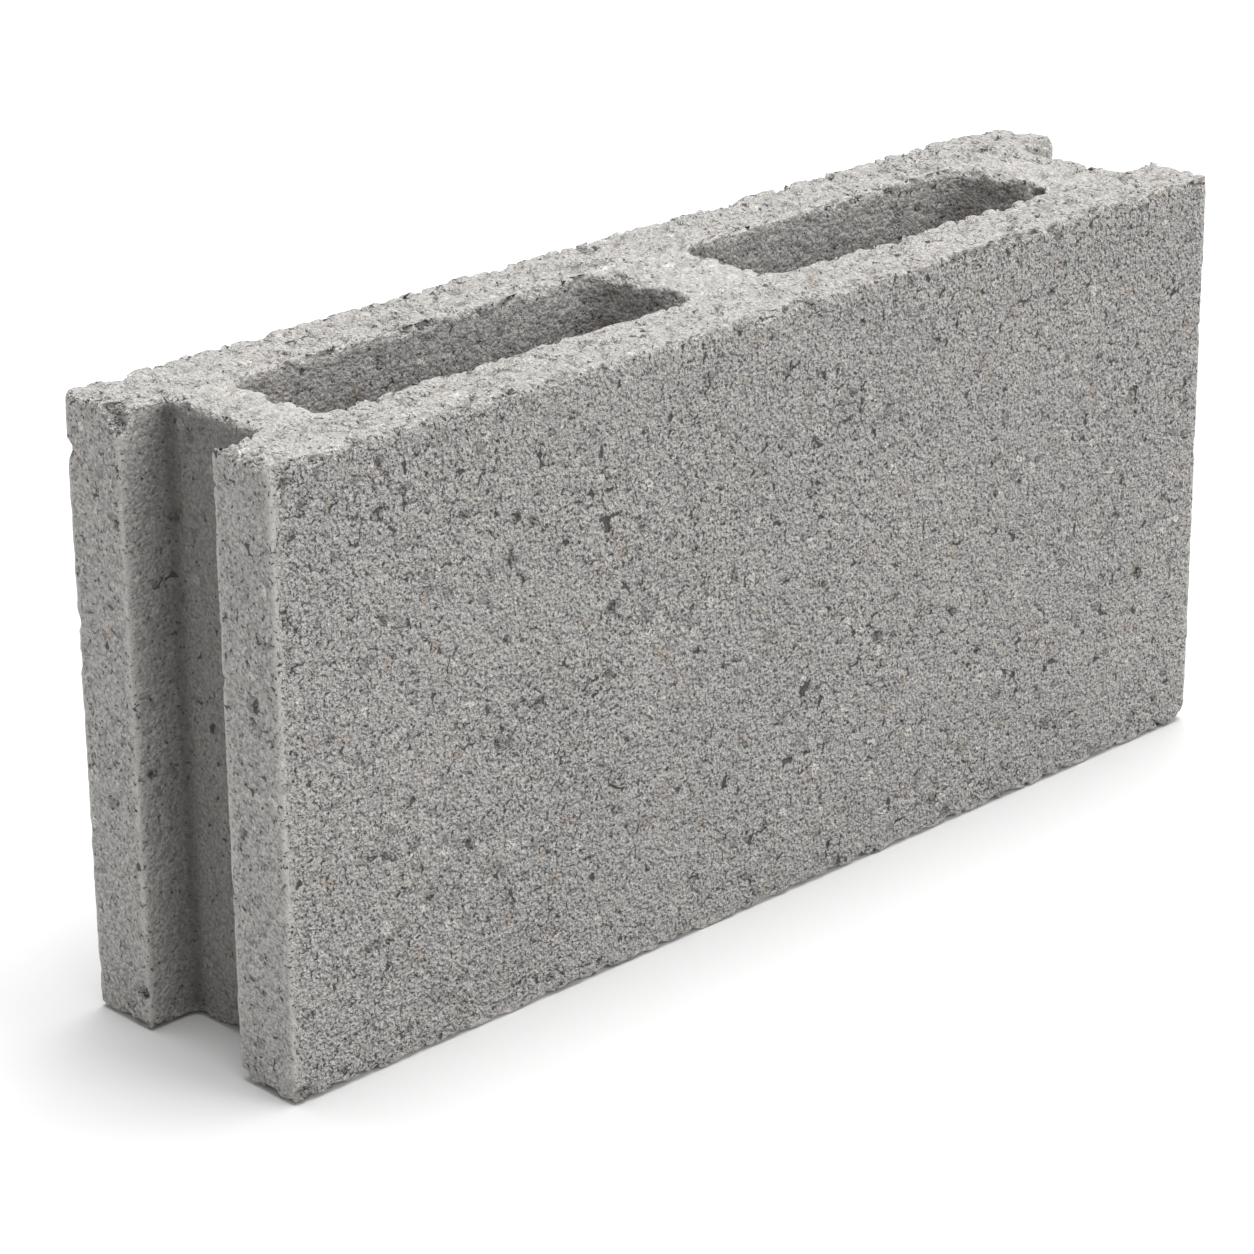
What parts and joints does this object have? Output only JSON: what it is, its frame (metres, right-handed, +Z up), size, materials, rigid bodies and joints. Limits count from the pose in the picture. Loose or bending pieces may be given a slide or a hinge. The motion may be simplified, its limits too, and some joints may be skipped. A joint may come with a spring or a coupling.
{
  "type": "hollow concrete block",
  "caption": "Hollow grey concrete partition block with through cells between its face shells and a mortar groove down each end.",
  "frame": {"origin": "centre of the bottom bed face, on the level the block stands on", "axes": "+X along the length of the block, towards its right end; +Y through the wall, from the front face to the back face; +Z up, from the bottom bed to the top bed"},
  "size_m": [0.39, 0.09, 0.19],
  "materials": {
    "cast_concrete": "matte"
  },
  "bodies": {
    "root": {"concrete_block": "cast_concrete"}
  },
  "joints": []
}
